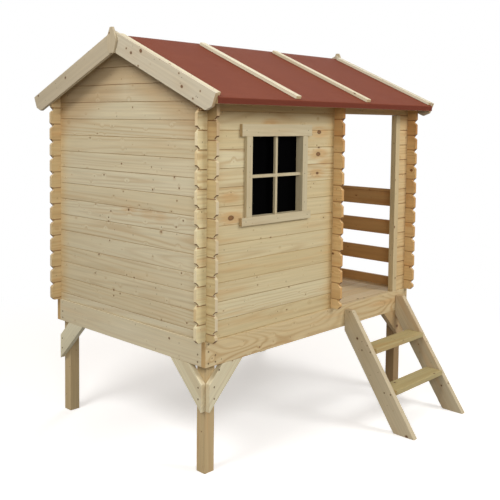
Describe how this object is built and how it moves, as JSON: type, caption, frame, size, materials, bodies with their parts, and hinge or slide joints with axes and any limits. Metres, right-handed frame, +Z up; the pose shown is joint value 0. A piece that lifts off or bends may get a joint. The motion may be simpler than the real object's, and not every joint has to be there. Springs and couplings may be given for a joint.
{
  "type": "playhouse",
  "caption": "Raised timber playhouse: a log-board room with a window and a hinged door, an open porch with log rails, a felt gable roof, braced legs and a ladder.",
  "frame": {"origin": "on the ground under the middle of the whole, ladder and roof included", "axes": "+X along the ridge from the gable wall to the porch, +Y from the window wall to the back wall, +Z up"},
  "size_m": [1.8446, 1.8104, 2.1039],
  "materials": {
    "wall_wood": "planed pale spruce log boards, untreated",
    "frame_wood": "planed spruce beams and boards, untreated",
    "trim_wood": "pale planed spruce trim, untreated",
    "step_wood": "pressure-treated greenish pine",
    "felt": "matt brick-red mineral roofing felt",
    "steel": "zinc-plated steel",
    "pane": "smooth clear sheet that looks black against the unlit room"
  },
  "bodies": {
    "house": {"window_wall": "wall_wood", "back_wall": "wall_wood", "gable_wall": "wall_wood", "door_wall": "wall_wood", "porch_end_wall": "wall_wood", "frame_board_front": "frame_wood", "frame_board_back": "frame_wood", "frame_board_gable_end": "frame_wood", "frame_board_porch_end": "frame_wood", "joist_under_room": "frame_wood", "joist_under_door_wall": "frame_wood", "room_floor": "frame_wood", "porch_deck": "frame_wood", "roof_boards_front": "frame_wood", "roof_boards_back": "frame_wood", "porch_post": "frame_wood", "ladder_stringer_near": "frame_wood", "ladder_stringer_far": "frame_wood", "leg_front_gable": "frame_wood", "brace_front_gable_end": "frame_wood", "brace_front_gable_side": "frame_wood", "end_batten_front_gable": "trim_wood", "bargeboard_front_gable": "trim_wood", "leg_front_porch": "frame_wood", "brace_front_porch_end": "frame_wood", "brace_front_porch_side": "frame_wood", "end_batten_front_porch": "trim_wood", "bargeboard_front_porch": "trim_wood", "felt_batten_front_near": "trim_wood", "felt_batten_front_far": "trim_wood", "leg_back_gable": "frame_wood", "brace_back_gable_end": "frame_wood", "brace_back_gable_side": "frame_wood", "end_batten_back_gable": "trim_wood", "bargeboard_back_gable": "trim_wood", "leg_back_porch": "frame_wood", "brace_back_porch_end": "frame_wood", "brace_back_porch_side": "frame_wood", "end_batten_back_porch": "trim_wood", "bargeboard_back_porch": "trim_wood", "felt_batten_back_near": "trim_wood", "felt_batten_back_far": "trim_wood", "gable_plate_gable": "trim_wood", "gable_plate_porch": "trim_wood", "window_lining": "trim_wood", "window_casing": "trim_wood", "window_bars": "trim_wood", "door_jamb": "trim_wood", "ladder_step_lower": "step_wood", "ladder_step_upper": "step_wood", "roof_felt": "felt", "hinge_plate_lower": "steel", "hinge_plate_upper": "steel", "window_pane": "pane"},
    "door": {"door_leaf": "wall_wood", "door_ledges": "trim_wood", "door_knob": "trim_wood", "hinge_strap_lower": "steel", "hinge_strap_upper": "steel"}
  },
  "joints": [
    {"name": "door_hinge", "type": "hinge", "parent": "house", "child": "door", "pos_m": [0.1333, 0.43171, 1.1], "axis": [0, 0, 1], "range_deg": [0, 105]}
  ]
}
